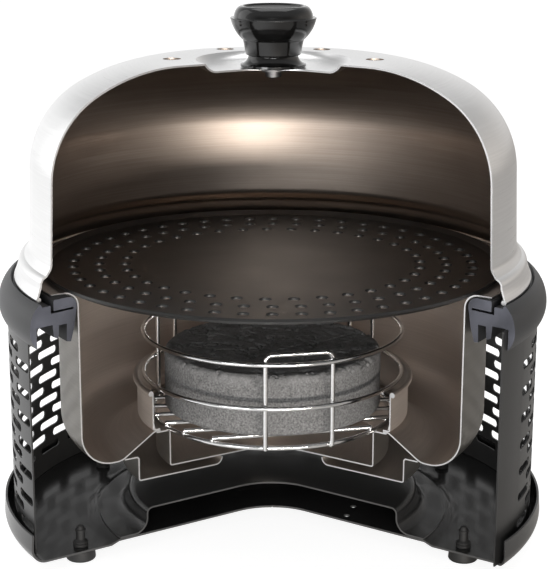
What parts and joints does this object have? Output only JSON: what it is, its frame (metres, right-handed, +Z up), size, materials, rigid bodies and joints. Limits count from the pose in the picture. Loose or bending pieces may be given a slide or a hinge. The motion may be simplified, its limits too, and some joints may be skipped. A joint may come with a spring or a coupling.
{
  "type": "portable charcoal grill",
  "caption": "Round table-top charcoal grill, cut open at the front: domed lid over a grill plate, a moated bowl with a wire charcoal basket, and a slotted outer wall on a pan with feet.",
  "frame": {"origin": "in the plane that the feet stand on, in the middle of the outline seen from above; the turning axis is 12.75 mm in front of it", "axes": "+Z up along the turning axis, the open wedge faces -Y, +X to the right of someone facing the wedge"},
  "size_m": [0.32, 0.2944, 0.3073],
  "materials": {
    "black_enamel": "gloss black enamel",
    "black_coat": "satin black powder coat",
    "foot_rubber": "matt black rubber",
    "collar_plastic": "dark grey moulded",
    "bowl_steel": "brushed stainless",
    "wire_chrome": "bright plated wire",
    "charcoal": "pressed charcoal, charred on top",
    "plate_coat": "black non-stick coat",
    "lid_steel": "satin stainless",
    "knob_plastic": "gloss black",
    "screw_steel": "zinc plated"
  },
  "bodies": {
    "base": {"base_pan": "black_enamel", "heat_shield": "black_enamel", "foot_front_left": "foot_rubber", "foot_front_right": "foot_rubber", "foot_rear_left": "foot_rubber", "foot_rear_right": "foot_rubber", "perforated_wall": "black_coat", "collar": "collar_plastic", "collar_screws": "screw_steel"},
    "bowl": {"inner_bowl": "bowl_steel", "moat_ring": "bowl_steel", "air_tray": "bowl_steel", "ash_pan": "bowl_steel"},
    "basket": {"basket_bottom_ring": "wire_chrome", "basket_middle_ring": "wire_chrome", "basket_top_ring": "wire_chrome", "basket_loop_front": "wire_chrome", "basket_loop_right": "wire_chrome", "basket_loop_left": "wire_chrome", "basket_grate": "wire_chrome"},
    "stone": {"charcoal_stone": "charcoal"},
    "plate": {"grill_plate": "plate_coat"},
    "cover": {"lid": "lid_steel", "lid_knob": "knob_plastic", "knob_washer": "screw_steel", "knob_screw": "screw_steel"}
  },
  "joints": [
    {"name": "bowl_lift", "type": "slide", "parent": "base", "child": "bowl", "axis": [0, 0, 1], "range_m": [0, 0.17]},
    {"name": "basket_lift", "type": "slide", "parent": "bowl", "child": "basket", "axis": [0, 0, 1], "range_m": [0, 0.1]},
    {"name": "stone_lift", "type": "slide", "parent": "basket", "child": "stone", "axis": [0, 0, 1], "range_m": [0, 0.06]},
    {"name": "plate_lift", "type": "slide", "parent": "stone", "child": "plate", "axis": [0, 0, 1], "range_m": [0, 0.1]},
    {"name": "lid_lift", "type": "slide", "parent": "plate", "child": "cover", "axis": [0, 0, 1], "range_m": [0, 0.15]}
  ]
}
